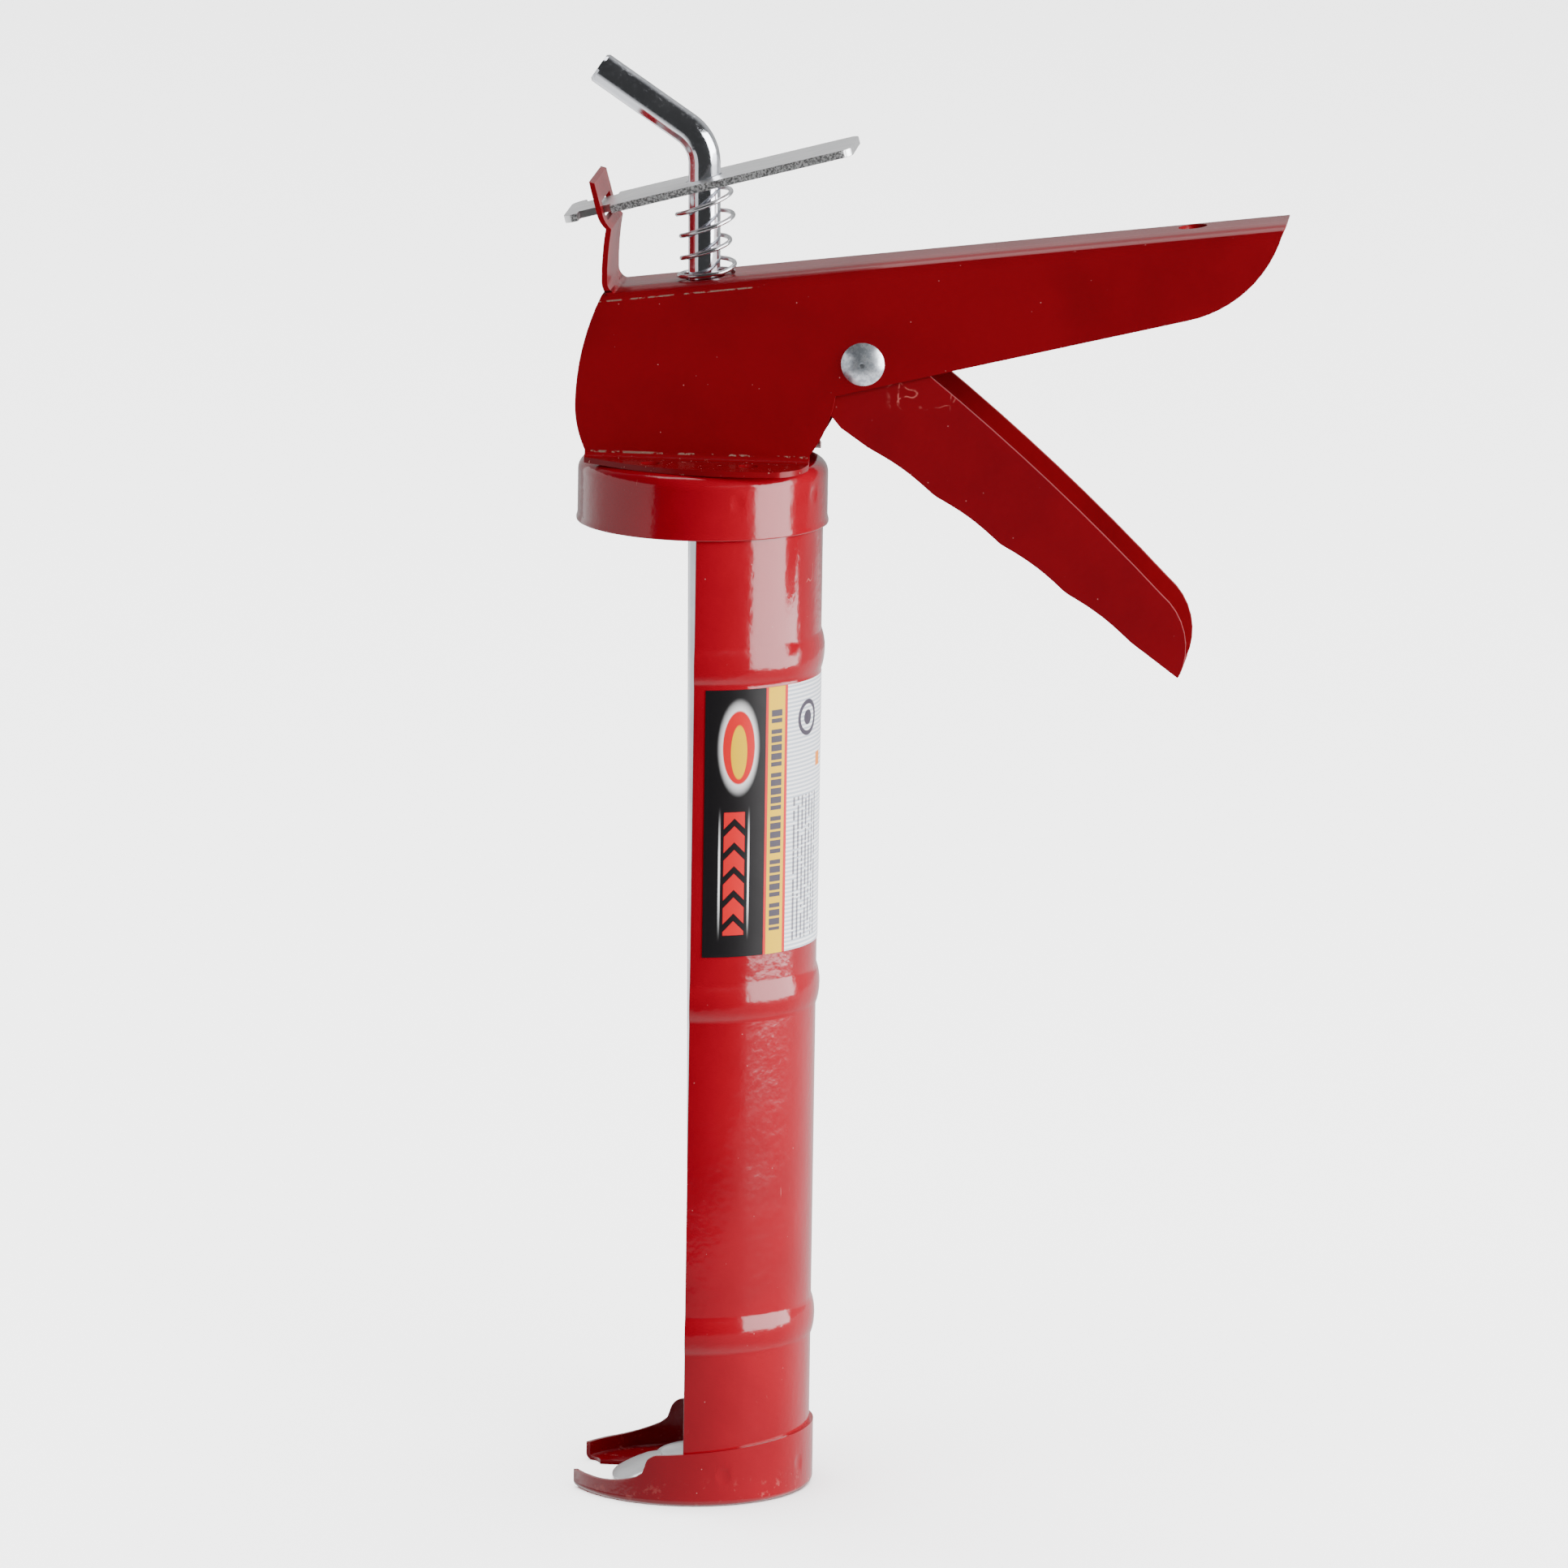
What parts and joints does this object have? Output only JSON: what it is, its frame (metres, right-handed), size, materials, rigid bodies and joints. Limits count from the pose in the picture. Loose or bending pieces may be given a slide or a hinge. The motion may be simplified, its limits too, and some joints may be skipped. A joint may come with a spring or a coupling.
{
  "type": "caulking gun",
  "caption": "Half-barrel caulking gun with capped cradle, hooked plunger rod with piston, sheet-metal handle, trigger and spring-loaded thumb release plate.",
  "frame": {"origin": "on the barrel's axis, at the outer face of the front cap's floor (the nozzle end)", "axes": "+Z along the barrel towards the handle end and the pull hook, +X towards the handle and the trigger, -Y towards the side that carries the label"},
  "size_m": [0.1543, 0.0542, 0.3123],
  "materials": {
    "frame_paint": "satin",
    "barrel_paint": "gloss",
    "zinc": "zinc plated",
    "rod_chrome": "polished",
    "spring_wire": "drawn wire",
    "label_film": "printed film"
  },
  "bodies": {
    "gun_body": {"frame": "frame_paint", "back_cap": "barrel_paint", "cradle": "barrel_paint", "front_cap": "barrel_paint", "label": "label_film", "trigger_rivet": "zinc", "release_spring": "spring_wire", "drive_spring": "spring_wire"},
    "trigger": {"trigger": "frame_paint"},
    "drive_plates": {"drive_plate_upper": "zinc", "drive_plate_lower": "zinc"},
    "piston": {"piston_disc": "zinc", "piston_back_washer": "zinc", "piston_front_washer": "zinc"},
    "rod": {"plunger_rod": "rod_chrome"},
    "release_plate": {"release_plate": "zinc"}
  },
  "joints": [
    {"name": "trigger_squeeze", "type": "hinge", "parent": "gun_body", "child": "trigger", "pos_m": [0.0352, 0, 0.249], "axis": [0, -1, 0], "range_deg": [0, 30], "stiffness_Nm_per_rad": 0.6, "springref_deg": -11.46},
    {"name": "drive_slide", "type": "slide", "parent": "gun_body", "child": "drive_plates", "axis": [0, 0, -1], "range_m": [0, 0.0134], "deforming": ["drive_spring"]},
    {"name": "plunger_slide", "type": "slide", "parent": "gun_body", "child": "piston", "axis": [-0.0122, 0, 0.9999], "range_m": [0, 0.215]},
    {"name": "rod_spin", "type": "hinge", "parent": "piston", "child": "rod", "pos_m": [0.00171, 0, 0.1], "axis": [-0.0122, 0, 0.9999], "continuous": true},
    {"name": "release_tilt", "type": "hinge", "parent": "gun_body", "child": "release_plate", "pos_m": [-0.0215, 0, 0.28405], "axis": [0, 1, 0], "range_deg": [0, 9], "stiffness_Nm_per_rad": 0.3, "springref_deg": -17.19, "deforming": ["release_spring"]}
  ],
  "couplings": [
    {"joint": "drive_slide", "follows": "trigger_squeeze", "m_per_rad": 0.0255}
  ]
}
